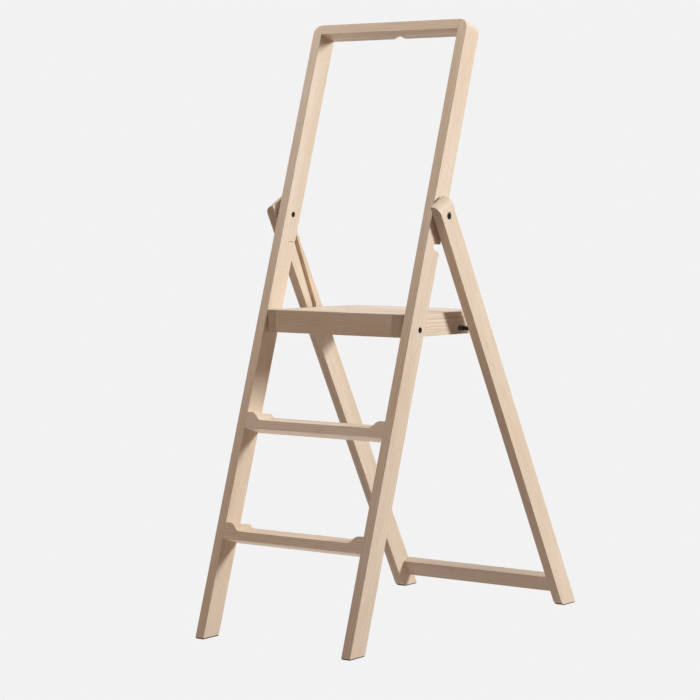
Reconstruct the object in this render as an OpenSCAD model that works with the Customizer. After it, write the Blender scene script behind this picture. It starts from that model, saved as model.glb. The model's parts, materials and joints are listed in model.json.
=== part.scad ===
// Folding wooden step ladder with a hand rail: a front frame of two stiles, two rungs and a top rail,
// a rear frame of two legs and a crossbar, and a platform that swings up between the stiles.
// +Z is up, +Y points from the front frame to the rear legs, X = 0 is the middle plane, and the
// origin is on the floor below the centre of the open ladder's box. All sizes are in millimetres.

/* [Front frame] */
// Width over the two stiles
frame_w = 346; // [300:1:420]
// Length of a stile, measured along its front face from the floor
stile_len = 1159; // [1000:1:1400]
// Thickness of a stile, across the ladder
stile_t = 19; // [16:0.5:26]
// Depth of a stile, of the rungs and top rail, and of the platform that folds between the stiles
stile_d = 41; // [38:0.5:50]
// Backward lean of the front frame, in degrees
frame_lean = 18.4; // [14:0.1:22]
// Thickness of the top rail
top_rail_t = 17.6; // [15:0.1:24]
// Radius of the rounded outer corner at the top of a stile
stile_corner_r = 17; // [4:0.5:19]

/* [Rungs] */
// Height of the lower tread above the floor
lower_tread_h = 189.5; // [150:0.5:230]
// Height of the upper tread above the floor
upper_tread_h = 383.5; // [340:0.5:430]
// Height of a rung's front face below its tread
rung_front_h = 16.3; // [14:0.1:24]
// Depth of the scooped tread below the rung's full-height ends
scoop_h = 13.2; // [8:0.1:16]
// Length of the S-shaped run from an end down to the tread
scoop_run = 27; // [18:0.5:40]
// Length of the full-height flat at each end of a rung
rung_end = 9; // [5:0.5:16]
// Rise of a rung's end from its front edge to its rear edge, square to the frame
rung_end_rise = 5.8; // [0:0.1:10]

/* [Hanging recess] */
// Radius of the cove cut into the underside of the top rail
recess_r = 14; // [10:0.5:20]
// Depth of the cove at the rail's rear face
recess_h = 4.8; // [3:0.1:7]
// Distance from the rail's front face to the cove's tip
recess_start = 9.5; // [6:0.5:16]

/* [Rear frame] */
// Backward lean of the rear legs, in degrees
leg_lean = 27.8; // [22:0.1:32]
// Thickness of a leg, across the ladder
leg_t = 18.5; // [16:0.5:26]
// Depth of a leg
leg_d = 41; // [34:0.5:50]
// Gap between a stile and its leg
hinge_gap = 4.2; // [3:0.1:8]
// Reach of a leg above its hinge
leg_top = 28.8; // [24:0.1:40]
// Radius of the rounded outer corner at the top of a leg
leg_corner_r = 17; // [4:0.5:18]
// Radius of a leg's front edge at the floor
foot_r = 12; // [4:0.5:16]
// Clearance below the stiles' feet for the crossbar when the ladder is folded
crossbar_clear = 3.75; // [2:0.25:10]
// Height of the crossbar, along the leg
crossbar_h = 33; // [24:0.5:44]
// Thickness of the crossbar, which is flush with the rear of the legs
crossbar_t = 16.2; // [12:0.1:24]

/* [Platform] */
// Distance from the platform's pivot forward to its front face
platform_front = 26; // [20:0.5:32]
// Distance from the platform's pivot back to its rear edge
platform_rear = 246; // [200:1:280]
// Gap between the platform and each stile
platform_gap = 1.5; // [1:0.1:4]
// Downward tilt of the open platform towards the rear, in degrees
platform_tilt = 1.3; // [0:0.1:3]
// Thickness of the platform's side rails
side_rail_t = 22.5; // [18:0.5:26]
// Thickness of the platform's front rail
front_rail_t = 18; // [14:0.5:24]
// Radius of the platform's front corners, seen from above
front_corner_r = 9; // [2:0.5:10]
// Radius of the platform's rear corners, seen from above
platform_corner_r = 30; // [10:0.5:40]
// Depth of the rear rail in front of its rounded corners
rear_rail_margin = 1; // [1:0.5:20]
// Thickness of the top panel
panel_t = 12; // [9:0.5:15]
// Width of the battens under the panel
batten_w = 12; // [10:0.5:16]
// Clearance between a batten and the guide rod below it
batten_clear = 2.3; // [1:0.1:4]

/* [Pivots] */
// Distance of the leg hinge from the floor, along the stile
hinge_s = 797; // [700:1:900]
// Distance of the platform pivot from the floor, along the stile
pivot_s = 590; // [500:1:650]
// Distance of the platform pivot in front of the stile's rear face
pivot_from_rear = 13.4; // [12:0.1:16]
// Diameter of the sleeves and shoulders that turn in the wood
shaft_d = 8; // [6:0.5:10]
// Radial clearance of a shaft that turns in a bore
run_fit = 0.05; // [0.02:0.01:0.1]
// Diameter of the sleeve nut's head, on the outside of a leg
nut_head_d = 12.5; // [11:0.5:15]
// Diameter of the other bolt heads
bolt_head_d = 10.4; // [10:0.1:13]
// Thickness of the bolt and nut heads
head_t = 3.2; // [2.5:0.1:4]
// Depth of a head below the wood's surface
head_recess = 0.6; // [0:0.1:1]
// Clearance round a head that turns in its counterbore
head_fit = 0.3; // [0.2:0.05:0.6]

/* [Guide rod] */
// Diameter of the guide rod
rod_d = 8; // [6:0.5:10]
// Distance of the rod behind the platform's pivot
rod_reach = 152; // [130:1:160]
// Distance of the rod below the platform's pivot
rod_drop = 2.7; // [0:0.1:5]
// Diameter of the sleeves on the rod
sleeve_d = 10.4; // [10:0.1:14]
// Length of a rod sleeve that stands out of the platform's side
sleeve_out = 8.5; // [4:0.5:14]
// Clearance between the rod's end and a leg
rod_end_gap = 0.3; // [0.2:0.1:1]
// Clearance round a rod sleeve in the stile's notch
notch_fit = 0.5; // [0.3:0.1:1]
// Depth of the notch from the stile's rear face
notch_depth = 19.5; // [17:0.5:24]
// Extra height of the notch at its mouth, above and below
notch_flare = 2.8; // [0:0.1:5]
// Clearance round the rod in a leg's guide groove
groove_fit = 1.5; // [0.5:0.1:3]
// Length of the groove's sloping last stretch, which takes the rod of the open ladder
groove_slope_len = 32; // [15:1:60]
// Depth of the guide groove
groove_h = 7; // [4:0.5:9]

/* [Joinery] */
// Diameter of the dowels in the two frames
dowel_d = 8; // [6:0.5:8]
// Depth of a dowel in the stile or leg
dowel_in_side = 12; // [10:0.5:14]
// Depth of a dowel in the rung, rail or crossbar
dowel_in_rail = 26; // [20:1:34]
// Diameter of the platform's dowels
small_dowel_d = 6; // [5:0.5:6]
// Thickness of the foot pads
pad_t = 2; // [1:0.5:4]
// Distance that a foot pad stands in from the edges of its foot
pad_inset = 0.7; // [0.5:0.1:2]

/* [Hidden] */
$fn = 64;
beech = "#E3D0BA";
black_steel = "#26221F";
black_nylon = "#1D1B1A";
steel = "#9A9A98";
rubber = "#3A3532";
cut = 1;            // overlap of a cutting tool past a face
reach = 1000;       // length of a tool that passes everything

// stile and leg planes, half-distances from the middle plane
stile_out = frame_w/2;
stile_in = stile_out - stile_t;
leg_in = stile_out + hinge_gap;
leg_out = leg_in + leg_t;
platform_half = stile_in - platform_gap;
rail_in = platform_half - side_rail_t;

// hinge of the legs and pivot of the platform, before the origin is centred
hinge_n = stile_d/2;
pivot_n = stile_d - pivot_from_rear;
hinge_y = hinge_s*sin(frame_lean) + hinge_n*cos(frame_lean);
hinge_z = hinge_s*cos(frame_lean) - hinge_n*sin(frame_lean);
pivot_y = pivot_s*sin(frame_lean) + pivot_n*cos(frame_lean);
pivot_z = pivot_s*cos(frame_lean) - pivot_n*sin(frame_lean);

// box of the open ladder front to rear, which centres the origin
front_y = pad_t*tan(frame_lean);
rear_y = hinge_y + (hinge_z - pad_t)*tan(leg_lean) + leg_d/2/cos(leg_lean);
mid_y = (front_y + rear_y)/2;

// platform heights above and below its pivot: the closed platform is flush with the stiles' front
platform_h = stile_d;
platform_up = pivot_n;
platform_down = platform_h - platform_up;
rear_rail_d = platform_corner_r + rear_rail_margin;
rear_rail_y = platform_rear - rear_rail_d;
panel_y = front_rail_t - platform_front;
panel_z = platform_up - panel_t;
batten_z = rod_d/2 - rod_drop + batten_clear;
batten_h = panel_z - batten_z;

// a corner is rounded no further than its own piece is thick
corner_wall = 1;
stile_round = min(stile_corner_r, stile_t - corner_wall);
leg_round = min(leg_corner_r, leg_t - corner_wall);

// the folded crossbar lies just below the feet of the stiles, whose soles slope
crossbar_from_hinge = hinge_s - (hinge_n + leg_d/2 - crossbar_t)*tan(frame_lean) + crossbar_clear;

// the closed rod's place on the stile, and the notch that takes it
notch_s = pivot_s + rod_reach;
notch_r = sleeve_d/2 + notch_fit;
notch_n = stile_d - notch_depth + notch_r;

// rod of the open ladder as seen from the hinge, back and up
rod_back = pivot_y + rod_reach*cos(platform_tilt) - rod_drop*sin(platform_tilt) - hinge_y;
rod_up = pivot_z - rod_reach*sin(platform_tilt) - rod_drop*cos(platform_tilt) - hinge_z;

// guide groove's centre line in a leg's own [depth, height], from the folded rod to the open one
groove_folded = [pivot_n + rod_drop - hinge_n, notch_s - hinge_s];
groove_open = [rod_back*cos(leg_lean) + rod_up*sin(leg_lean),
               rod_up*cos(leg_lean) - rod_back*sin(leg_lean)];
groove_knee = [0, groove_open.y + groove_slope_len];
groove_turns = [groove_folded, groove_knee, groove_open];
groove_w = rod_d + 2*groove_fit;
groove_relief = 0.05;   // extra radius where the cutter dwells at a turn

// bolts, screws and washers
screw_d = 3.5;
screw_head_d = 7;
screw_len = 20;
insert_d = 10;
insert_len = 12;
thread_d = 6;
nut_thread_d = 5;
nut_end_wall = 2;
nut_bolt_gap = 1.2;
sleeve_in_stile = stile_t - head_t - head_recess - nut_bolt_gap;
hinge_bolt_in_leg = 6;
hex_af = 4;
hex_h = 1.8;
washer_d = 18;
pivot_washer_d = 16;
washer_slack = 0.2;
rod_end_chamfer = 0.8;

// dowels and screws in the platform and the frames
dowel_n = [11, stile_d - 11];
rung_dowel_s = 9;
crossbar_dowel_parts = [1/4, 3/4];
small_dowel_edge = 7;
small_dowel_wall = 1;
front_dowel_in_rail = 20;
front_dowel_in_side = side_rail_t - 4;
front_dowel_z = [insert_d/2 + small_dowel_d/2 + small_dowel_wall, platform_up - small_dowel_edge];
rear_dowel_len = 36;
rear_dowel_in_side = 20;
rear_dowel_z = [sleeve_d/2 - rod_drop + small_dowel_d/2 + small_dowel_wall,
                platform_up - small_dowel_edge];
screw_from_end = 29;
batten_screws_y = [panel_y + screw_from_end, (panel_y + rear_rail_y)/2, rear_rail_y - screw_from_end];

// Puts a child drawn at the hinge line's frame into the centred world.
module world() { translate([0, -mid_y, 0]) children(); }
// Front frame's own axes: X across, Y back through the stile, Z up along the stile.
module in_frame() { world() rotate([-frame_lean, 0, 0]) children(); }
// Leg's own axes at the hinge: X across, Y back through the leg, Z up along the leg.
module in_leg() { world() translate([0, hinge_y, hinge_z]) rotate([leg_lean, 0, 0]) children(); }
// Platform's own axes at its pivot: X across, Y back, Z up through the platform.
module in_platform() { world() translate([0, pivot_y, pivot_z]) rotate([-platform_tilt, 0, 0]) children(); }
// A child and its mirror image across the middle plane.
module both_sides() { children(); mirror([1, 0, 0]) children(); }

// Round bar along +X from x0 to x1.
module bar_x(x0, x1, d) { translate([x0, 0, 0]) rotate([0, 90, 0]) cylinder(d=d, h=x1 - x0); }
// Outline drawn in [depth, height] and given a thickness along X from x0 to x1.
module along_x(x0, x1) {
  translate([x0, 0, 0]) rotate([90, 0, 90]) linear_extrude(x1 - x0) children();
}
// What a rounded corner removes: a square less its quarter circle, with its tip at [r, r].
module corner_waste(r) {
  difference() {
    square([r + cut, r + cut]);
    circle(r);
  }
}
// Hexagon socket that opens at x = 0 towards +X.
module hex_socket() {
  translate([-hex_h, 0, 0]) rotate([0, 90, 0]) cylinder(d=hex_af/cos(30), h=hex_h + cut, $fn=6);
}

// ---- front frame ----

function floor_s(n) = (pad_t + n*sin(frame_lean))/cos(frame_lean);

// One stile on the +X side, with its bores, dowel holes and rod notch.
module stile() {
  color(beech) in_frame() difference() {
    along_x(stile_in, stile_out)
      polygon([[0, floor_s(0)], [stile_d, floor_s(stile_d)], [stile_d, stile_len], [0, stile_len]]);
    translate([stile_out - stile_round, stile_d + cut, stile_len - stile_round])
      rotate([90, 0, 0]) linear_extrude(stile_d + 2*cut) corner_waste(stile_round);
    rod_notch();
    translate([0, hinge_n, hinge_s]) {
      bar_x(stile_out - sleeve_in_stile, stile_out + cut, shaft_d);
      bar_x(stile_in - cut, stile_out, nut_thread_d);
      bar_x(stile_in - cut, stile_in + head_t + head_recess, bolt_head_d);
    }
    translate([0, pivot_n, pivot_s]) {
      bar_x(stile_in - cut, stile_out + cut, shaft_d + 2*run_fit);
      bar_x(stile_out - head_t - head_recess - head_fit, stile_out + cut, bolt_head_d + 2*head_fit);
    }
    for (h = [rung_under(lower_tread_h), rung_under(upper_tread_h)]) rung_dowel_row(h);
    rail_dowel_row();
  }
}

// Slot from the stile's rear face, round at its end and flared at its mouth.
module rod_notch() {
  along_x(stile_in - cut, stile_out + cut) translate([0, notch_s]) {
    translate([notch_n, 0]) circle(notch_r);
    polygon([[notch_n, -notch_r], [stile_d + cut, -notch_r - notch_flare],
             [stile_d + cut, notch_r + notch_flare], [notch_n, notch_r]]);
  }
}

// Dowels through the joint plane between a stile and what stands between the stiles.
module frame_dowel(n, s) {
  translate([0, n, s]) bar_x(stile_in - dowel_in_rail, stile_in + dowel_in_side, dowel_d);
}
module rung_dowel_row(under) { for (n = dowel_n) frame_dowel(n, under + rung_dowel_s); }
module rail_dowel_row() { for (n = dowel_n) frame_dowel(n, stile_len - top_rail_t/2); }

module top_rail() {
  color(beech) in_frame() difference() {
    along_x(-stile_in, stile_in)
      translate([0, stile_len - top_rail_t]) square([stile_d, top_rail_t]);
    hanging_recess();
    both_sides() rail_dowel_row();
  }
}

// Cove under the top rail: a sloping cylinder that starts at its tip and deepens to the rear.
module hanging_recess() {
  slope = atan(recess_h/(stile_d - recess_start));
  translate([0, recess_start, stile_len - top_rail_t]) rotate([slope, 0, 0])
    translate([0, 0, -recess_r]) rotate([-90, 0, 0]) translate([0, 0, -recess_start])
      cylinder(r=recess_r, h=stile_d + recess_start);
}

function rung_under(tread_h) = tread_h/cos(frame_lean) - rung_front_h;

// A rung: a square blank between the stiles with a level tread scooped out of its top.
module rung(tread_h) {
  under = rung_under(tread_h);
  end_s = (tread_h + scoop_h)/cos(frame_lean);
  color(beech) difference() {
    in_frame() along_x(-stile_in, stile_in)
      polygon([[0, under], [stile_d, under], [stile_d, end_s + rung_end_rise], [0, end_s]]);
    world() translate([0, reach, tread_h]) rotate([90, 0, 0]) linear_extrude(2*reach) scoop_profile();
    in_frame() both_sides() rung_dowel_row(under);
  }
}

// Level tread with an S at each end made of two equal arcs, drawn in [across, up] above the tread.
module scoop_profile() {
  end_x = stile_in - rung_end;
  tread_x = end_x - scoop_run;
  arc_r = (scoop_run*scoop_run + scoop_h*scoop_h)/(4*scoop_h);
  difference() {
    translate([-end_x, scoop_h/2]) square([2*end_x, scoop_h]);
    for (side = [-1, 1]) translate([side*end_x, scoop_h - arc_r]) circle(arc_r, $fn=128);
  }
  intersection() {
    translate([-end_x, 0]) square([2*end_x, scoop_h/2 + 0.001]);
    union() {
      translate([-tread_x, 0]) square([2*tread_x, scoop_h]);
      for (side = [-1, 1]) translate([side*tread_x, arc_r]) circle(arc_r, $fn=128);
    }
  }
}

module top_rail_dowels() { color(beech) in_frame() both_sides() rail_dowel_row(); }
module rung_dowels(tread_h) { color(beech) in_frame() both_sides() rung_dowel_row(rung_under(tread_h)); }

module front_foot_pads() {
  foot_len = stile_d/cos(frame_lean);
  color(rubber) world() both_sides()
    translate([stile_in + pad_inset, front_y + pad_inset, 0])
      cube([stile_t - 2*pad_inset, foot_len - 2*pad_inset, pad_t]);
}

// ---- leg hinge hardware ----

// Sleeve nut: head on the outside of the leg, barrel through the leg and into the stile.
module hinge_sleeve_nuts() {
  head_x = leg_out - head_recess;
  color(black_steel) in_frame() both_sides() translate([0, hinge_n, hinge_s]) difference() {
    union() {
      bar_x(head_x - head_t, head_x, nut_head_d);
      bar_x(stile_out - sleeve_in_stile, head_x, shaft_d);
    }
    bar_x(stile_out - sleeve_in_stile - cut, head_x - head_t - nut_end_wall, nut_thread_d);
    translate([head_x, 0, 0]) hex_socket();
  }
}

// Bolt: head in the stile's inner face, shank in the sleeve nut.
module hinge_bolts() {
  head_x = stile_in + head_recess;
  color(black_steel) in_frame() both_sides() translate([0, hinge_n, hinge_s]) difference() {
    union() {
      bar_x(head_x, head_x + head_t, bolt_head_d);
      bar_x(head_x, leg_in + hinge_bolt_in_leg, nut_thread_d);
    }
    translate([head_x, 0, 0]) mirror([1, 0, 0]) hex_socket();
  }
}

module ring_x(x0, x1, outer, inner) {
  difference() {
    bar_x(x0, x1, outer);
    bar_x(x0 - cut, x1 + cut, inner);
  }
}

module hinge_washers() {
  color(black_nylon) in_frame() both_sides() translate([0, hinge_n, hinge_s])
    ring_x(stile_out, leg_in - washer_slack, washer_d, shaft_d);
}

module platform_washers() {
  color(black_nylon) in_frame() both_sides() translate([0, pivot_n, pivot_s])
    ring_x(platform_half + washer_slack, stile_in, pivot_washer_d, shaft_d + 2*run_fit);
}

// ---- rear frame ----

// Height of the leg's cut foot along the leg at depth m from its middle.
function foot_z(m) = (pad_t - hinge_z - m*sin(leg_lean))/cos(leg_lean);

// Side outline of a leg: square top, level foot, rounded front edge at the floor.
module leg_outline() {
  half = leg_d/2;
  tip = [-half, foot_z(-half)];
  run = foot_r*(1 - sin(leg_lean))/cos(leg_lean);
  on_foot = tip + run*[cos(leg_lean), -sin(leg_lean)];
  centre = on_foot + foot_r*[sin(leg_lean), cos(leg_lean)];
  difference() {
    polygon([tip, [half, foot_z(half)], [half, leg_top], [-half, leg_top]]);
    polygon([tip, on_foot, centre, [-half, centre.y]]);
  }
  translate(centre) circle(foot_r);
}

// One leg on the +X side, with its hinge bore, guide groove and dowel holes.
module rear_leg() {
  color(beech) in_leg() difference() {
    along_x(leg_in, leg_out) leg_outline();
    translate([leg_out - leg_round, leg_d, leg_top - leg_round])
      rotate([90, 0, 0]) linear_extrude(2*leg_d) corner_waste(leg_round);
    bar_x(leg_in - cut, leg_out + cut, shaft_d + 2*run_fit);
    bar_x(leg_out - head_t - head_recess - head_fit, leg_out + cut, nut_head_d + 2*head_fit);
    guide_groove();
    crossbar_dowel_row();
  }
}

// Blind groove in the leg's inner face: straight runs between the cutter's turns.
module guide_groove() {
  along_x(leg_in - cut, leg_in + groove_h) {
    for (turn = groove_turns) translate(turn) circle(groove_w/2 + groove_relief);
    for (i = [1:len(groove_turns) - 1]) {
      run = groove_turns[i] - groove_turns[i - 1];
      translate(groove_turns[i - 1]) rotate(atan2(run.y, run.x)) translate([0, -groove_w/2])
        square([norm(run), groove_w]);
    }
  }
}

module crossbar_dowel_row() {
  for (part = crossbar_dowel_parts)
    translate([0, leg_d/2 - crossbar_t/2, -crossbar_from_hinge - crossbar_h*part])
      bar_x(leg_in - dowel_in_rail, leg_in + dowel_in_side, dowel_d);
}

module crossbar() {
  color(beech) in_leg() difference() {
    along_x(-leg_in, leg_in)
      translate([leg_d/2 - crossbar_t, -crossbar_from_hinge - crossbar_h]) square([crossbar_t, crossbar_h]);
    both_sides() crossbar_dowel_row();
  }
}

module crossbar_dowels() { color(beech) in_leg() both_sides() crossbar_dowel_row(); }

module rear_foot_pads() {
  foot_len = leg_d/cos(leg_lean);
  rounded = foot_r*(1 - sin(leg_lean))/cos(leg_lean);
  color(rubber) world() both_sides()
    translate([leg_in + pad_inset, rear_y - foot_len + rounded, 0])
      cube([leg_t - 2*pad_inset, foot_len - rounded - pad_inset, pad_t]);
}

// ---- platform ----

module platform_pivot_hole() { bar_x(platform_half - insert_len, platform_half + cut, insert_d); }
module rod_hole() {
  translate([0, rod_reach, -rod_drop]) bar_x(rail_in - cut, platform_half + cut, sleeve_d);
}

// Dowels across the joint between a side rail and the front rail.
module front_dowel_row() {
  for (z = front_dowel_z)
    translate([0, -platform_front + front_rail_t/2, z])
      bar_x(rail_in - front_dowel_in_rail, rail_in + front_dowel_in_side, small_dowel_d);
}
// Dowels along the side rail into the rear rail.
module rear_dowel_row() {
  for (z = rear_dowel_z)
    translate([platform_half - side_rail_t/2, rear_rail_y - rear_dowel_in_side, z])
      rotate([-90, 0, 0]) cylinder(d=small_dowel_d, h=rear_dowel_len);
}

module platform_side_rail() {
  color(beech) in_platform() difference() {
    translate([rail_in, -platform_front, -platform_down])
      cube([side_rail_t, platform_front + rear_rail_y, platform_h]);
    translate([platform_half - front_corner_r, front_corner_r - platform_front, -platform_down - cut])
      linear_extrude(platform_h + 2*cut) mirror([0, 1]) corner_waste(front_corner_r);
    platform_pivot_hole();
    rod_hole();
    front_dowel_row();
    rear_dowel_row();
    for (y = batten_screws_y) batten_screw(y);
  }
}

module platform_front_rail() {
  color(beech) in_platform() difference() {
    translate([-rail_in, -platform_front, -platform_down]) cube([2*rail_in, front_rail_t, platform_h]);
    both_sides() front_dowel_row();
  }
}

module platform_rear_rail() {
  color(beech) in_platform() difference() {
    translate([-platform_half, rear_rail_y, -platform_down]) cube([2*platform_half, rear_rail_d, platform_h]);
    both_sides() translate([platform_half - platform_corner_r, platform_rear - platform_corner_r,
                            -platform_down - cut])
      linear_extrude(platform_h + 2*cut) corner_waste(platform_corner_r);
    both_sides() rear_dowel_row();
  }
}

module platform_panel() {
  color(beech) in_platform()
    translate([-rail_in, panel_y, panel_z]) cube([2*rail_in, rear_rail_y - panel_y, panel_t]);
}

module panel_batten() {
  color(beech) in_platform() difference() {
    translate([rail_in - batten_w, panel_y, batten_z]) cube([batten_w, rear_rail_y - panel_y, batten_h]);
    for (y = batten_screws_y) batten_screw(y);
  }
}

// Countersunk screw through the batten into the side rail, its head flush with the batten.
module batten_screw(y) {
  head_h = (screw_head_d - screw_d)/2;
  translate([rail_in - batten_w, y, batten_z + batten_h/2]) rotate([0, 90, 0]) {
    cylinder(d1=screw_head_d, d2=screw_d, h=head_h);
    cylinder(d=screw_d, h=screw_len);
  }
}

module batten_screws() { color(steel) in_platform() both_sides() for (y = batten_screws_y) batten_screw(y); }
module platform_front_dowels() { color(beech) in_platform() both_sides() front_dowel_row(); }
module platform_rear_dowels() { color(beech) in_platform() both_sides() rear_dowel_row(); }

// Shoulder bolt: head in the stile's outer face, shoulder through the stile, thread in the insert.
module platform_pivot_bolts() {
  head_x = stile_out - head_recess;
  color(black_steel) in_platform() both_sides() difference() {
    union() {
      bar_x(head_x - head_t, head_x, bolt_head_d);
      bar_x(platform_half, head_x, shaft_d);
      bar_x(platform_half - insert_len, platform_half, thread_d);
    }
    translate([head_x, 0, 0]) hex_socket();
  }
}

module platform_pivot_inserts() {
  color(steel) in_platform() both_sides()
    ring_x(platform_half - insert_len, platform_half, insert_d, thread_d);
}

module guide_rod() {
  end_x = leg_in - rod_end_gap;
  color(black_steel) in_platform() translate([0, rod_reach, -rod_drop]) {
    bar_x(-end_x + rod_end_chamfer, end_x - rod_end_chamfer, rod_d);
    both_sides() translate([end_x - rod_end_chamfer, 0, 0]) rotate([0, 90, 0])
      cylinder(d1=rod_d, d2=rod_d - 2*rod_end_chamfer, h=rod_end_chamfer);
  }
}

// Sleeves that carry the rod in the side rails and run in the stiles' notches.
module rod_sleeves() {
  color(black_nylon) in_platform() both_sides() translate([0, rod_reach, -rod_drop])
    ring_x(rail_in, platform_half + sleeve_out, sleeve_d, rod_d);
}

mirror([1, 0, 0]) stile();  // stile_left
stile();  // stile_right
top_rail();
rung(upper_tread_h);  // upper_rung
rung(lower_tread_h);  // lower_rung
top_rail_dowels();
rung_dowels(upper_tread_h);  // upper_rung_dowels
rung_dowels(lower_tread_h);  // lower_rung_dowels
front_foot_pads();
hinge_sleeve_nuts();
hinge_bolts();
hinge_washers();
platform_washers();
mirror([1, 0, 0]) rear_leg();  // rear_leg_left
rear_leg();  // rear_leg_right
crossbar();
crossbar_dowels();
rear_foot_pads();
mirror([1, 0, 0]) platform_side_rail();  // platform_side_rail_left
platform_side_rail();  // platform_side_rail_right
platform_front_rail();
platform_rear_rail();
platform_panel();
mirror([1, 0, 0]) panel_batten();  // panel_batten_left
panel_batten();  // panel_batten_right
batten_screws();
platform_front_dowels();
platform_rear_dowels();
platform_pivot_bolts();
platform_pivot_inserts();
guide_rod();
rod_sleeves();
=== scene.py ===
# Folding beech step ladder: the finished look of its pieces, on a plain studio floor.
import json
import math

import bmesh
import bpy
from mathutils import Matrix, Vector
from mathutils.bvhtree import BVHTree


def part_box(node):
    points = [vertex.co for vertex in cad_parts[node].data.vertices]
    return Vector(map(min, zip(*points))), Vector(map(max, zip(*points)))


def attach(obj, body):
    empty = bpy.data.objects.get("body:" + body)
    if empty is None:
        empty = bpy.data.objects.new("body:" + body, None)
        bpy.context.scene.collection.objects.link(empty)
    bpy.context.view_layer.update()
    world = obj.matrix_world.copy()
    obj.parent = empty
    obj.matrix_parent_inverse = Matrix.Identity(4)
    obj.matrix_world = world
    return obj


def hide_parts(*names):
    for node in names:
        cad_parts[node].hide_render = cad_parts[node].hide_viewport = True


bl_info = {
    "name": "Beech step ladder",
    "version": (1, 0, 0),
    "blender": (4, 5, 0),
    "location": "View3D > Sidebar > Ladder",
    "description": "Builds the finished pieces of a folding beech step ladder",
    "category": "Object",
}

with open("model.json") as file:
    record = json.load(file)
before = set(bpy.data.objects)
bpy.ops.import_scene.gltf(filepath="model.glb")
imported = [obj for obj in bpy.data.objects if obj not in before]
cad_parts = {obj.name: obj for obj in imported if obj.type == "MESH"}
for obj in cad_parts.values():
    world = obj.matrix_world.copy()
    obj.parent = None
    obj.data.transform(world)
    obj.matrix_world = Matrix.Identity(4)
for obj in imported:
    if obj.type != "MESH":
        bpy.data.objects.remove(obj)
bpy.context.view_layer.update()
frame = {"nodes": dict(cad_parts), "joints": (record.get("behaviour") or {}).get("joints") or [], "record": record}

# Lean of the stiles and the legs from upright, and fall of the platform's top.
STILE_LEAN = math.radians(18.4)
LEG_LEAN = math.radians(27.8)
TILT = math.radians(1.3)
ACROSS = Vector((1, 0, 0))
UP_STILE = Vector((0, math.sin(STILE_LEAN), math.cos(STILE_LEAN)))
BACK_STILE = Vector((0, math.cos(STILE_LEAN), -math.sin(STILE_LEAN)))
UP_LEG = Vector((0, -math.sin(LEG_LEAN), math.cos(LEG_LEAN)))
BACK_LEG = Vector((0, math.cos(LEG_LEAN), math.sin(LEG_LEAN)))
BACK_PLATFORM = Vector((0, math.cos(TILT), -math.sin(TILT)))
UP_PLATFORM = Vector((0, math.sin(TILT), math.cos(TILT)))

# Boards by node: (direction of the grain, direction across the board's face, the board's own number, which
# sets where the tree's heart lies beside it, so that no two boards show the same grain).
STILES = {
    "stile_left": (UP_STILE, BACK_STILE, 0.31),
    "stile_right": (UP_STILE, BACK_STILE, 0.57),
}
RUNGS = {
    "upper_rung": (ACROSS, BACK_STILE, 0.83),
    "lower_rung": (ACROSS, BACK_STILE, 1.19),
}
TOP_RAIL = {"top_rail": (ACROSS, BACK_STILE, 1.37)}
LEGS = {
    "rear_leg_left": (UP_LEG, BACK_LEG, 1.61),
    "rear_leg_right": (UP_LEG, BACK_LEG, 1.93),
}
CROSSBAR = {"crossbar": (ACROSS, UP_LEG, 2.17)}
PLATFORM_RAILS = {
    "platform_side_rail_left": (BACK_PLATFORM, UP_PLATFORM, 2.41),
    "platform_side_rail_right": (BACK_PLATFORM, UP_PLATFORM, 2.63),
    "platform_front_rail": (ACROSS, UP_PLATFORM, 2.87),
    "platform_rear_rail": (ACROSS, UP_PLATFORM, 3.11),
}
PANEL = {
    "platform_panel": (ACROSS, BACK_PLATFORM, 3.37),
    "panel_batten_left": (BACK_PLATFORM, UP_PLATFORM, 3.59),
    "panel_batten_right": (BACK_PLATFORM, UP_PLATFORM, 3.83),
}
DOWELS = {
    "top_rail_dowels": (ACROSS, UP_STILE, 4.31),
    "upper_rung_dowels": (ACROSS, UP_STILE, 4.53),
    "lower_rung_dowels": (ACROSS, UP_STILE, 4.79),
    "crossbar_dowels": (ACROSS, UP_LEG, 5.03),
    "platform_front_dowels": (ACROSS, UP_PLATFORM, 5.27),
    "platform_rear_dowels": (BACK_PLATFORM, UP_PLATFORM, 5.51),
}
BOARDS = {**STILES, **RUNGS, **TOP_RAIL, **LEGS, **CROSSBAR, **PLATFORM_RAILS, **PANEL}
BODY_OF = {node: body for body, nodes in frame["record"]["behaviour"]["bodies"].items() for node in nodes}

MM = 0.001
TOUCH = 0.05 * MM  # boards closer than this are glued or screwed together
SHARP = math.radians(35)  # edges that turn further than this are real edges of the piece
SMOOTH = math.radians(40)  # shading runs on over edges that turn less than this
FLAT = math.radians(0.6)  # faces that turn less than this are one flat face
SAME_CORNER = 0.01 * MM  # corners of one node that are closer than this are one corner
BORE_REACH = 8 * MM  # edges this close to an axle line belong to its bore
TRIANGLE_LIMIT = 200000
END_TONE = 0.75  # how far a square-cut end goes towards the end-grain colour


def linear(hex_colour):
    """Linear light of an sRGB hex colour."""

    def channel(v):
        return v / 12.92 if v <= 0.04045 else ((v + 0.055) / 1.055) ** 2.4

    return tuple(channel(int(hex_colour[i : i + 2], 16) / 255) for i in (1, 3, 5))


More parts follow.
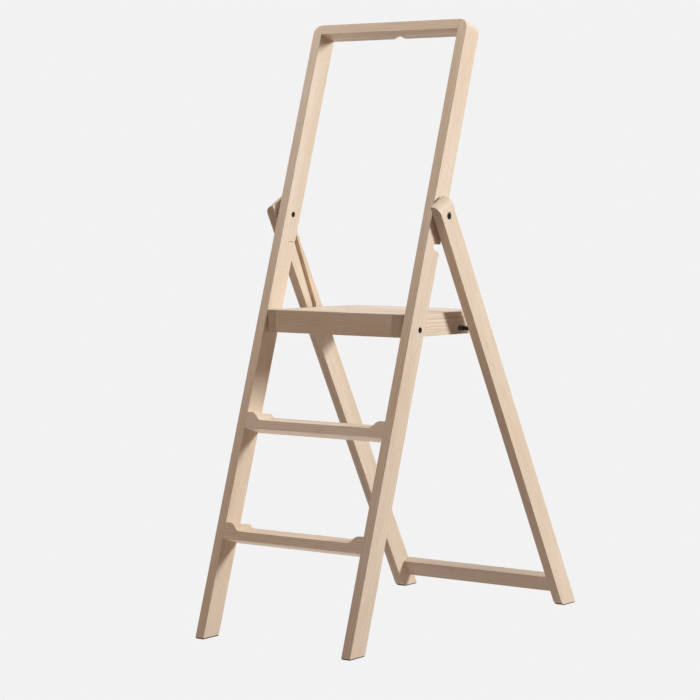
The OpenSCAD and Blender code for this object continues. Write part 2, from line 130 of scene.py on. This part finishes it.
class LadderLook(bpy.types.PropertyGroup):
    """Sizes and colours of the finished pieces, and the strength of the studio's lights."""

    edge_round: bpy.props.FloatProperty(
        name="Edge rounding",
        description="Radius sanded on the boards' free edges",
        default=0.9 * MM,
        min=0.2 * MM,
        max=2 * MM,
        unit="LENGTH",
    )
    joint_round: bpy.props.FloatProperty(
        name="Joint rounding",
        description="Radius broken on edges where two boards meet and round the bores",
        default=0.22 * MM,
        min=0.05 * MM,
        max=0.6 * MM,
        unit="LENGTH",
    )
    hardware_round: bpy.props.FloatProperty(
        name="Hardware rounding",
        description="Radius on the edges of bolts, nuts, washers and sleeves",
        default=0.3 * MM,
        min=0.05 * MM,
        max=0.6 * MM,
        unit="LENGTH",
    )
    ring_spacing: bpy.props.FloatProperty(
        name="Ring spacing",
        description="Distance between the wood's growth rings",
        default=2.7 * MM,
        min=1 * MM,
        max=8 * MM,
        unit="LENGTH",
    )
    wood_light: bpy.props.FloatVectorProperty(
        name="Early wood",
        description="Colour of the pale wood between growth rings",
        default=linear("#EADDCE"),
        min=0,
        max=1,
        subtype="COLOR",
    )
    wood_dark: bpy.props.FloatVectorProperty(
        name="Late wood",
        description="Colour of the darker growth-ring lines",
        default=linear("#C3A57E"),
        min=0,
        max=1,
        subtype="COLOR",
    )
    wood_fleck: bpy.props.FloatVectorProperty(
        name="Ray flecks",
        description="Colour of beech's small dark flecks",
        default=linear("#AE9070"),
        min=0,
        max=1,
        subtype="COLOR",
    )
    wood_end: bpy.props.FloatVectorProperty(
        name="End grain",
        description="Colour of the cut ends of the boards",
        default=linear("#B3A083"),
        min=0,
        max=1,
        subtype="COLOR",
    )
    oxide_colour: bpy.props.FloatVectorProperty(
        name="Black oxide",
        description="Colour of the blackened steel",
        default=linear("#2B2826"),
        min=0,
        max=1,
        subtype="COLOR",
    )
    nylon_colour: bpy.props.FloatVectorProperty(
        name="Nylon",
        description="Colour of the black nylon sleeves and washers",
        default=linear("#1F1D1C"),
        min=0,
        max=1,
        subtype="COLOR",
    )
    zinc_colour: bpy.props.FloatVectorProperty(
        name="Zinc",
        description="Colour of the zinc plated screws and inserts",
        default=linear("#C9CACB"),
        min=0,
        max=1,
        subtype="COLOR",
    )
    rubber_colour: bpy.props.FloatVectorProperty(
        name="Rubber",
        description="Colour of the foot pads",
        default=linear("#3D3834"),
        min=0,
        max=1,
        subtype="COLOR",
    )
    floor_colour: bpy.props.FloatVectorProperty(
        name="Floor",
        description="Colour of the floor and the backdrop",
        default=linear("#F3F2F3"),
        min=0,
        max=1,
        subtype="COLOR",
    )
    key_power: bpy.props.FloatProperty(
        name="Key light",
        description="Power of the low softbox behind the ladder's right side",
        default=120,
        min=0,
        max=2000,
        unit="POWER",
    )
    top_power: bpy.props.FloatProperty(
        name="Top light",
        description="Power of the softbox overhead",
        default=25,
        min=0,
        max=2000,
        unit="POWER",
    )
    bounce_power: bpy.props.FloatProperty(
        name="Floor bounce",
        description="Power of the light that the pale floor sends up",
        default=50,
        min=0,
        max=2000,
        unit="POWER",
    )
    front_power: bpy.props.FloatProperty(
        name="Front light",
        description="Power of the weak softbox high in front",
        default=40,
        min=0,
        max=2000,
        unit="POWER",
    )
    room_light: bpy.props.FloatProperty(
        name="Room light",
        description="Strength of the even light from all round",
        default=0.09,
        min=0,
        max=2,
    )


# ---- materials ----


def add_node(tree, kind, values=None, **settings):
    """Adds a node, sets its own settings, then its input sockets' values by name or number."""
    node = tree.nodes.new(kind)
    for name, value in settings.items():
        setattr(node, name, value)
    for socket, value in (values or {}).items():
        node.inputs[socket].default_value = value
    return node


def new_finish(name):
    """An empty material with its shader: returns the material, its node tree and the shader."""
    if name in bpy.data.materials:
        bpy.data.materials.remove(bpy.data.materials[name])
    material = bpy.data.materials.new(name)
    material.use_nodes = True
    return material, material.node_tree, material.node_tree.nodes["Principled BSDF"]


def solid(colour):
    return (*colour, 1.0)


def mix_colours(tree, factor, first, second):
    """Mixes two colours, each a socket or a plain colour, by a socket."""
    node = add_node(tree, "ShaderNodeMix", data_type="RGBA")
    tree.links.new(factor, node.inputs["Factor"])
    for socket, colour in ((node.inputs[6], first), (node.inputs[7], second)):
        if isinstance(colour, bpy.types.NodeSocket):
            tree.links.new(colour, socket)
        else:
            socket.default_value = solid(colour)
    return node.outputs[2]


def ramp_between(tree, source, low, high, to_low=0.0, to_high=1.0):
    """Stretches a socket's values from low..high to to_low..to_high, clamped."""
    node = add_node(
        tree,
        "ShaderNodeMapRange",
        {"From Min": low, "From Max": high, "To Min": to_low, "To Max": to_high},
    )
    tree.links.new(source, node.inputs["Value"])
    return node.outputs["Result"]


def stretched(tree, source, along):
    """The board's coordinates with the grain direction squeezed, which draws a pattern out along it."""
    node = add_node(tree, "ShaderNodeMapping", {"Scale": (1, 1, along)})
    tree.links.new(source, node.inputs["Vector"])
    return node.outputs["Vector"]


def noise(tree, vector, scale, detail, roughness=0.5):
    node = add_node(
        tree, "ShaderNodeTexNoise", {"Scale": scale, "Detail": detail, "Roughness": roughness}
    )
    tree.links.new(vector, node.inputs["Vector"])
    return node.outputs["Fac"]


# Pale straight-grained wood with a dull sheen: soft ring lines, hair-fine fibres, tiny brown flecks.
def oiled_beech(look):
    material, tree, shader = new_finish("white-oiled beech")
    board = add_node(tree, "ShaderNodeAttribute", attribute_name="board").outputs["Vector"]
    broad = noise(tree, stretched(tree, board, 0.12), 16, 2)
    # A wave repeats every 0.314 / scale metres.
    rings_node = add_node(
        tree,
        "ShaderNodeTexWave",
        {
            "Scale": 2 * math.pi / 20 / look.ring_spacing,
            "Distortion": 12.0,
            "Detail": 2.0,
            "Detail Scale": 0.22,
            "Detail Roughness": 0.45,
        },
        wave_type="RINGS",
        rings_direction="Z",
        wave_profile="SAW",
    )
    tree.links.new(stretched(tree, board, 0.035), rings_node.inputs["Vector"])
    # Real fibres are finer than 0.1 mm: these are drawn about 0.8 mm wide so that they can be seen.
    fibres = noise(tree, stretched(tree, board, 0.014), 1150, 3, 0.6)
    flecks = noise(tree, stretched(tree, board, 0.16), 760, 1)
    rings = ramp_between(tree, rings_node.outputs["Fac"], 0.25, 1.0, 0.0, 0.44)
    fine = ramp_between(tree, fibres, 0.36, 0.68, 0.0, 0.42)
    tone = ramp_between(tree, broad, 0.34, 0.66, 0.0, 0.26)
    lines = add_node(tree, "ShaderNodeMath", operation="ADD")
    tree.links.new(rings, lines.inputs[0])
    tree.links.new(fine, lines.inputs[1])
    depth = add_node(tree, "ShaderNodeMath", operation="ADD", use_clamp=True)
    tree.links.new(lines.outputs[0], depth.inputs[0])
    tree.links.new(tone, depth.inputs[1])
    plain = mix_colours(tree, depth.outputs[0], look.wood_light, look.wood_dark)
    # Cut fibre ends drink more oil, so the ends of a board are darker and duller.
    cut = add_node(tree, "ShaderNodeAttribute", attribute_name="end_grain").outputs["Fac"]
    wood = mix_colours(tree, cut, plain, look.wood_end)
    specks = ramp_between(tree, flecks, 0.66, 0.74, 0.0, 0.5)
    tree.links.new(mix_colours(tree, specks, wood, look.wood_fleck), shader.inputs["Base Color"])
    tree.links.new(
        ramp_between(tree, fibres, 0.3, 0.7, 0.5, 0.62), shader.inputs["Roughness"]
    )
    shader.inputs["IOR"].default_value = 1.47
    bump = add_node(tree, "ShaderNodeBump", {"Strength": 0.25, "Distance": 0.12 * MM})
    tree.links.new(fibres, bump.inputs["Height"])
    tree.links.new(bump.outputs["Normal"], shader.inputs["Normal"])
    return material


def object_noise(tree, scale, detail):
    """Noise on the object's own coordinates, in metres."""
    place = add_node(tree, "ShaderNodeTexCoord").outputs["Object"]
    return noise(tree, place, scale, detail)


def mottled(name, colour, spread, scale, roughness, metallic=0.0, ior=None, pitting=0.0):
    """A plain finish whose brightness and sheen wander a little."""
    material, tree, shader = new_finish(name)
    grain = object_noise(tree, scale, 3)
    darker = tuple(c * (1 - spread) for c in colour)
    lighter = tuple(min(1, c * (1 + spread)) for c in colour)
    tree.links.new(
        mix_colours(tree, ramp_between(tree, grain, 0.3, 0.7), darker, lighter),
        shader.inputs["Base Color"],
    )
    tree.links.new(
        ramp_between(tree, grain, 0.3, 0.7, roughness - 0.06, roughness + 0.06),
        shader.inputs["Roughness"],
    )
    shader.inputs["Metallic"].default_value = metallic
    if ior:
        shader.inputs["IOR"].default_value = ior
    if pitting:
        bump = add_node(tree, "ShaderNodeBump", {"Strength": 0.3, "Distance": pitting})
        tree.links.new(grain, bump.inputs["Height"])
        tree.links.new(bump.outputs["Normal"], shader.inputs["Normal"])
    return material


# Near-black metal with a soft oily sheen.
def black_oxide(look):
    return mottled("black oxide steel", look.oxide_colour, 0.25, 900, 0.38, metallic=1.0)


# Dull black plastic with a faintly grained skin.
def black_nylon(look):
    return mottled("black nylon", look.nylon_colour, 0.2, 1500, 0.55, ior=1.53, pitting=0.03 * MM)


# Bright bluish-grey metal, a little cloudy.
def zinc_plate(look):
    return mottled("zinc plated steel", look.zinc_colour, 0.12, 600, 0.32, metallic=1.0)


# Dead-flat dark grey with a pebbled skin.
def pad_rubber(look):
    return mottled("foot rubber", look.rubber_colour, 0.2, 1200, 0.82, ior=1.52, pitting=0.06 * MM)


# ---- geometry ----


def merged_copy(node):
    """The CAD node's faces in a working mesh: corners merged and flat triangles joined."""
    bm = bmesh.new()
    bm.from_mesh(frame["nodes"][node].data)
    bmesh.ops.remove_doubles(bm, verts=bm.verts, dist=SAME_CORNER)
    bmesh.ops.dissolve_degenerate(bm, dist=SAME_CORNER, edges=bm.edges)
    bmesh.ops.dissolve_limit(
        bm, angle_limit=FLAT, verts=bm.verts, edges=bm.edges, delimit=set()
    )
    return bm


def sharp_edges(bm):
    return [e for e in bm.edges if len(e.link_faces) == 2 and e.calc_face_angle(0) > SHARP]


def samples(edge):
    """Both ends of an edge and its middle."""
    first, second = (v.co for v in edge.verts)
    return first, second, (first + second) / 2


def skins(nodes, but):
    """Search trees of the CAD skins of nodes, but for one."""
    trees = []
    for node in nodes:
        if node != but:
            mesh = frame["nodes"][node].data
            trees.append(
                BVHTree.FromPolygons([v.co for v in mesh.vertices], [p.vertices for p in mesh.polygons])
            )
    return trees


def lies_on(edge, trees, reach=TOUCH):
    """Whether every sample of the edge is on one of the skins."""
    return all(
        any(tree.find_nearest(point, reach)[0] is not None for tree in trees) for point in samples(edge)
    )


def axle_lines():
    """The lines across the ladder that the bolts and the guide rod lie on, as [depth, height]."""
    lines = [(j["pos_m"][1], j["pos_m"][2]) for j in frame["joints"]]
    low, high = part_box("guide_rod")
    lines.append(((low.y + high.y) / 2, (low.z + high.z) / 2))
    return lines


def round_bore(edge, lines):
    """Whether the edge runs round one of the axle lines."""
    return all(
        any(math.hypot(p.y - y, p.z - z) < BORE_REACH for y, z in lines) for p in samples(edge)
    )


def round_over(bm, edges, radius, segments):
    if edges:
        bmesh.ops.bevel(
            bm,
            geom=edges,
            offset=radius,
            offset_type="OFFSET",
            affect="EDGES",
            segments=segments,
            profile=0.5,
            material=-1,
            clamp_overlap=True,
        )


def lay_grain(mesh, along, face, heart):
    """Gives each vertex its place in its own board: the grain runs along the third coordinate."""
    third = along.cross(face)
    centre = sum((v.co for v in mesh.vertices), Vector()) / len(mesh.vertices)
    # The tree's heart lies beside the board, 60 to 110 mm off, so that the rings cross it as flat arcs.
    turn = heart * 7
    offset = 0.06 + 0.05 * (heart * 3.7 % 1)
    board = mesh.attributes.new("board", "FLOAT_VECTOR", "POINT")
    for vertex, entry in zip(mesh.vertices, board.data):
        p = vertex.co - centre
        entry.vector = (
            p.dot(third) + offset * math.cos(turn),
            p.dot(face) + offset * math.sin(turn),
            p.dot(along) + heart,
        )
    cut = mesh.attributes.new("end_grain", "FLOAT", "FACE")
    for face_of_mesh, entry in zip(mesh.polygons, cut.data):
        entry.value = END_TONE * max(0.0, abs(face_of_mesh.normal.dot(along)) - 0.5) * 2


def finish_piece(bm, node, material, board=None):
    """Turns the worked mesh into the piece that stands for its CAD node."""
    mesh = bpy.data.meshes.new(node + "_piece")
    bm.to_mesh(mesh)
    bm.free()
    if not mesh.polygons:
        raise RuntimeError(f"{node} came out empty")
    if sum(len(p.vertices) - 2 for p in mesh.polygons) > TRIANGLE_LIMIT:
        raise RuntimeError(f"{node} has too many triangles")
    if board:
        lay_grain(mesh, *board)
    mesh.materials.append(material)
    mesh.shade_smooth()
    mesh.set_sharp_from_angle(angle=SMOOTH)
    piece = bpy.data.objects.new(node + "_piece", mesh)
    bpy.context.scene.collection.objects.link(piece)
    weigh = piece.modifiers.new("even shading", "WEIGHTED_NORMAL")
    weigh.keep_sharp = True
    weigh.weight = 90
    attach(piece, BODY_OF[node])
    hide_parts(node)


def make_boards(boards, context):
    """Builds boards: free edges sanded round, edges at joints and bores just broken."""
    look = context.scene.ladder_look
    material = bpy.data.materials.get("white-oiled beech") or oiled_beech(look)
    lines = axle_lines()
    for node, board in boards.items():
        bm = merged_copy(node)
        neighbours = skins(BOARDS, node)
        dowels = skins([*DOWELS, "batten_screws"], node)
        free = [
            e
            for e in sharp_edges(bm)
            if not lies_on(e, neighbours + dowels) and not round_bore(e, lines)
        ]
        round_over(bm, free, look.edge_round, 3)
        crisp = [e for e in sharp_edges(bm) if not lies_on(e, dowels, 3 * TOUCH)]
        round_over(bm, crisp, look.joint_round, 1)
        finish_piece(bm, node, material, board)


def make_plain(nodes, material, radius, board=None):
    """Builds small pieces whose edges are all rounded alike."""
    for node in nodes:
        bm = merged_copy(node)
        round_over(bm, sharp_edges(bm), radius, 2)
        finish_piece(bm, node, material, board)


class LADDER_OT_stiles(bpy.types.Operator):
    """Two leaning stiles with their rod notches and bores"""

    bl_idname = "ladder.stiles"
    bl_label = "Stiles"

    def execute(self, context):
        make_boards(STILES, context)
        return {"FINISHED"}


class LADDER_OT_rungs(bpy.types.Operator):
    """Two rungs with scooped treads"""

    bl_idname = "ladder.rungs"
    bl_label = "Rungs"

    def execute(self, context):
        make_boards(RUNGS, context)
        return {"FINISHED"}


class LADDER_OT_top_rail(bpy.types.Operator):
    """The top rail that the hands hold, with its hanging cove"""

    bl_idname = "ladder.top_rail"
    bl_label = "Top rail"

    def execute(self, context):
        make_boards(TOP_RAIL, context)
        return {"FINISHED"}


class LADDER_OT_rear_legs(bpy.types.Operator):
    """Two rear legs with their guide grooves"""

    bl_idname = "ladder.rear_legs"
    bl_label = "Rear legs"

    def execute(self, context):
        make_boards(LEGS, context)
        return {"FINISHED"}


class LADDER_OT_crossbar(bpy.types.Operator):
    """The bar that joins the rear legs"""

    bl_idname = "ladder.crossbar"
    bl_label = "Crossbar"

    def execute(self, context):
        make_boards(CROSSBAR, context)
        return {"FINISHED"}


class LADDER_OT_platform_rails(bpy.types.Operator):
    """The four rails round the platform"""

    bl_idname = "ladder.platform_rails"
    bl_label = "Platform rails"

    def execute(self, context):
        make_boards(PLATFORM_RAILS, context)
        return {"FINISHED"}


class LADDER_OT_platform_panel(bpy.types.Operator):
    """The platform's panel and the battens that carry it"""

    bl_idname = "ladder.platform_panel"
    bl_label = "Platform panel"

    def execute(self, context):
        make_boards(PANEL, context)
        return {"FINISHED"}


class LADDER_OT_dowels(bpy.types.Operator):
    """The dowels in the joints"""

    bl_idname = "ladder.dowels"
    bl_label = "Dowels"

    def execute(self, context):
        look = context.scene.ladder_look
        material = bpy.data.materials.get("white-oiled beech") or oiled_beech(look)
        for node, board in DOWELS.items():
            make_plain([node], material, look.joint_round, board)
        return {"FINISHED"}


class LADDER_OT_bolts(bpy.types.Operator):
    """Blackened bolts, sleeve nuts and the guide rod"""

    bl_idname = "ladder.bolts"
    bl_label = "Bolts and rod"

    def execute(self, context):
        look = context.scene.ladder_look
        nodes = ("hinge_sleeve_nuts", "hinge_bolts", "platform_pivot_bolts", "guide_rod")
        make_plain(nodes, black_oxide(look), look.hardware_round)
        return {"FINISHED"}


class LADDER_OT_sleeves(bpy.types.Operator):
    """Nylon washers and rod sleeves"""

    bl_idname = "ladder.sleeves"
    bl_label = "Washers and sleeves"

    def execute(self, context):
        look = context.scene.ladder_look
        nodes = ("hinge_washers", "platform_washers", "rod_sleeves")
        make_plain(nodes, black_nylon(look), look.hardware_round)
        return {"FINISHED"}


class LADDER_OT_screws(bpy.types.Operator):
    """Zinc plated screws and threaded inserts inside the platform"""

    bl_idname = "ladder.screws"
    bl_label = "Screws and inserts"

    def execute(self, context):
        look = context.scene.ladder_look
        nodes = ("batten_screws", "platform_pivot_inserts")
        make_plain(nodes, zinc_plate(look), look.joint_round)
        return {"FINISHED"}


class LADDER_OT_foot_pads(bpy.types.Operator):
    """Thin rubber pads under the four feet"""

    bl_idname = "ladder.foot_pads"
    bl_label = "Foot pads"

    def execute(self, context):
        look = context.scene.ladder_look
        nodes = ("front_foot_pads", "rear_foot_pads")
        make_plain(nodes, pad_rubber(look), look.hardware_round)
        return {"FINISHED"}


# ---- studio ----

CAMERA_PLACE = (2.65592, -3.62505, 0.85178)  # metres
CAMERA_TURN = (37.054, -4.464, -0.472)  # degrees to the left, up and anticlockwise
LENS = 126.06  # focal length in mm
FLOOR_RADIUS = 8.9
WALL_RADIUS = 9.0


def softbox(name, towards, distance, size, power, colour, aim):
    """A square light that shines at aim from the direction towards."""
    data = bpy.data.lights.new(name, "AREA")
    data.shape = "SQUARE"
    data.size = size
    data.energy = power
    data.color = colour
    light = bpy.data.objects.new(name, data)
    light.location = aim + towards.normalized() * distance
    light.rotation_euler = towards.to_track_quat("Z", "Y").to_euler()
    bpy.context.scene.collection.objects.link(light)
    light.visible_camera = False


def backdrop(colour):
    """A pale floor and a round wall of the same even tone, seen and mirrored but casting no light."""
    material, tree, shader = new_finish("studio floor paint")
    glow = add_node(tree, "ShaderNodeEmission", {"Color": solid(colour), "Strength": 1.0})
    tree.links.new(glow.outputs["Emission"], tree.nodes["Material Output"].inputs["Surface"])
    tree.nodes.remove(shader)
    objects = []
    for name, radius in (("studio_floor", FLOOR_RADIUS), ("studio_wall", WALL_RADIUS)):
        bm = bmesh.new()
        if name == "studio_floor":
            bmesh.ops.create_circle(bm, cap_ends=True, segments=96, radius=radius)
        else:
            bmesh.ops.create_uvsphere(bm, u_segments=64, v_segments=32, radius=radius)
        mesh = bpy.data.meshes.new(name)
        bm.to_mesh(mesh)
        bm.free()
        mesh.materials.append(material)
        thing = bpy.data.objects.new(name, mesh)
        bpy.context.scene.collection.objects.link(thing)
        for flag in ("visible_diffuse", "visible_transmission", "visible_shadow"):
            setattr(thing, flag, False)
        objects.append(thing)
    return objects


def aim_camera():
    """A long lens that looks down a little on the ladder's right front."""
    yaw, pitch, roll = (math.radians(angle) for angle in CAMERA_TURN)
    look = Vector(
        (-math.sin(yaw) * math.cos(pitch), math.cos(yaw) * math.cos(pitch), math.sin(pitch))
    )
    right = Vector((math.cos(yaw), math.sin(yaw), 0))
    up = right.cross(look)
    level_right = math.cos(roll) * right + math.sin(roll) * up
    level_up = math.cos(roll) * up - math.sin(roll) * right
    data = bpy.data.cameras.new("camera")
    data.sensor_width = 36
    data.lens = LENS
    data.dof.use_dof = False
    camera = bpy.data.objects.new("camera", data)
    turn = Matrix((level_right, level_up, -look)).transposed()
    camera.matrix_world = Matrix.Translation(CAMERA_PLACE) @ turn.to_4x4()
    bpy.context.scene.collection.objects.link(camera)
    bpy.context.scene.camera = camera


class LADDER_OT_stage(bpy.types.Operator):
    """Pale studio floor, soft lights and the camera"""

    bl_idname = "ladder.stage"
    bl_label = "Studio"

    def execute(self, context):
        look = context.scene.ladder_look
        scene = context.scene
        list(backdrop(look.floor_colour))
        middle = Vector((0, 0, 0.55))
        white, cool, warm, cream = (0.98, 1, 1), (0.78, 0.9, 1), (1, 0.88, 0.76), (1, 0.96, 0.9)
        softbox("key_light", Vector((1, 0.45, 0.31)), 3.6, 0.65, look.key_power, white, middle)
        softbox("top_light", Vector((0, 0, 1)), 1.9, 1.2, look.top_power, cool, middle)
        softbox("front_light", Vector((-0.15, -1, 1.2)), 3.5, 2.0, look.front_power, warm, middle)
        softbox("floor_bounce", Vector((0, 0.35, -1)), 2.6, 2.8, look.bounce_power, cream, middle)
        world = bpy.data.worlds.new("studio room")
        world.use_nodes = True
        room = world.node_tree.nodes["Background"]
        room.inputs["Color"].default_value = solid(linear("#FFA566"))
        room.inputs["Strength"].default_value = look.room_light
        scene.world = world
        scene.view_settings.view_transform = "Standard"
        aim_camera()
        if scene.camera is None:
            raise RuntimeError("the studio has no camera")
        return {"FINISHED"}


STEPS = (
    LADDER_OT_stiles,
    LADDER_OT_rungs,
    LADDER_OT_top_rail,
    LADDER_OT_rear_legs,
    LADDER_OT_crossbar,
    LADDER_OT_platform_rails,
    LADDER_OT_platform_panel,
    LADDER_OT_dowels,
    LADDER_OT_bolts,
    LADDER_OT_sleeves,
    LADDER_OT_screws,
    LADDER_OT_foot_pads,
    LADDER_OT_stage,
)


class LADDER_PT_sidebar(bpy.types.Panel):
    """Buttons that build the ladder, and its sizes and colours"""

    bl_idname = "LADDER_PT_sidebar"
    bl_label = "Beech step ladder"
    bl_space_type = "VIEW_3D"
    bl_region_type = "UI"
    bl_category = "Ladder"

    def draw(self, context):
        for step in STEPS:
            self.layout.operator(step.bl_idname)
        for name in LadderLook.__annotations__:
            self.layout.prop(context.scene.ladder_look, name)


CLASSES = (LadderLook, *STEPS, LADDER_PT_sidebar)


def register():
    for cls in CLASSES:
        bpy.utils.register_class(cls)
    bpy.types.Scene.ladder_look = bpy.props.PointerProperty(type=LadderLook)


def unregister():
    del bpy.types.Scene.ladder_look
    for cls in reversed(CLASSES):
        bpy.utils.unregister_class(cls)


def main():
    register()
    for step in STEPS:
        group, name = step.bl_idname.split(".")
        getattr(getattr(bpy.ops, group), name)()


if __name__ == "__main__":
    main()
